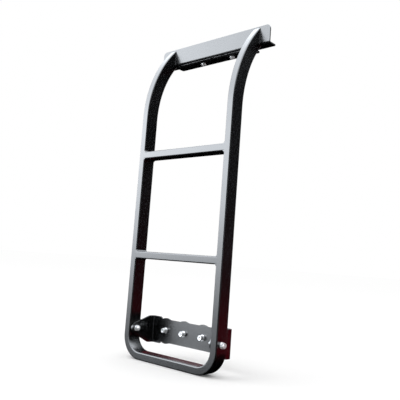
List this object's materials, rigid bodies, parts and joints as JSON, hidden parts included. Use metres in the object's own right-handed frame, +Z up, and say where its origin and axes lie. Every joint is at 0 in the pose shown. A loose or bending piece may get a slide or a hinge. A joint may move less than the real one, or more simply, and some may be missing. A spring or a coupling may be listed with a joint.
{
  "type": "tailgate ladder",
  "caption": "Black tailgate ladder of rectangular tube, hooked over the door's top edge by a clamp bracket and bolted to the door by a tilting lower bracket.",
  "frame": {"origin": "middle of the line where the top bracket's back face meets the underside of its flange, which is where the ladder hangs on the door's top edge", "axes": "+X to the ladder's right as a person facing it sees it, +Y into the vehicle, +Z up along the straight part of the rails"},
  "size_m": [0.394, 0.127, 0.9],
  "materials": {
    "frame_paint": "satin black powder coat",
    "bracket_paint": "satin black powder coat on folded sheet",
    "steel": "bright stainless fasteners",
    "sleeve_steel": "plain turned steel",
    "rubber": "matt black rubber sheet",
    "nylon": "smooth black nylon washers"
  },
  "bodies": {
    "ladder": {"rail_left": "frame_paint", "rail_right": "frame_paint", "foot_tube": "frame_paint", "rung_upper": "frame_paint", "rung_lower": "frame_paint", "top_bracket": "bracket_paint", "flange_pad": "rubber", "clamp_nuts": "steel", "clamp_nut_washers": "steel", "pivot_bolts": "steel", "pivot_head_washers": "steel", "pivot_sleeves": "sleeve_steel", "pivot_spacers": "nylon", "pivot_nut_washers": "steel", "pivot_nuts": "steel"},
    "clamp": {"clamp_jaw": "bracket_paint", "clamp_jaw_pad": "rubber", "clamp_bolts": "steel", "clamp_bolt_washers": "steel"},
    "bracket": {"lower_bracket": "bracket_paint", "lower_bracket_pad": "rubber", "door_bolts": "steel", "door_bolt_spring_washers": "steel", "door_bolt_flat_washers": "steel"}
  },
  "joints": [
    {"name": "jaw_slide", "type": "slide", "parent": "ladder", "child": "clamp", "axis": [0, 0, -1], "range_m": [0, 0.008]},
    {"name": "bracket_tilt", "type": "hinge", "parent": "ladder", "child": "bracket", "pos_m": [0, -0.076, -0.771], "axis": [1, 0, 0], "range_deg": [-4, 20]}
  ]
}
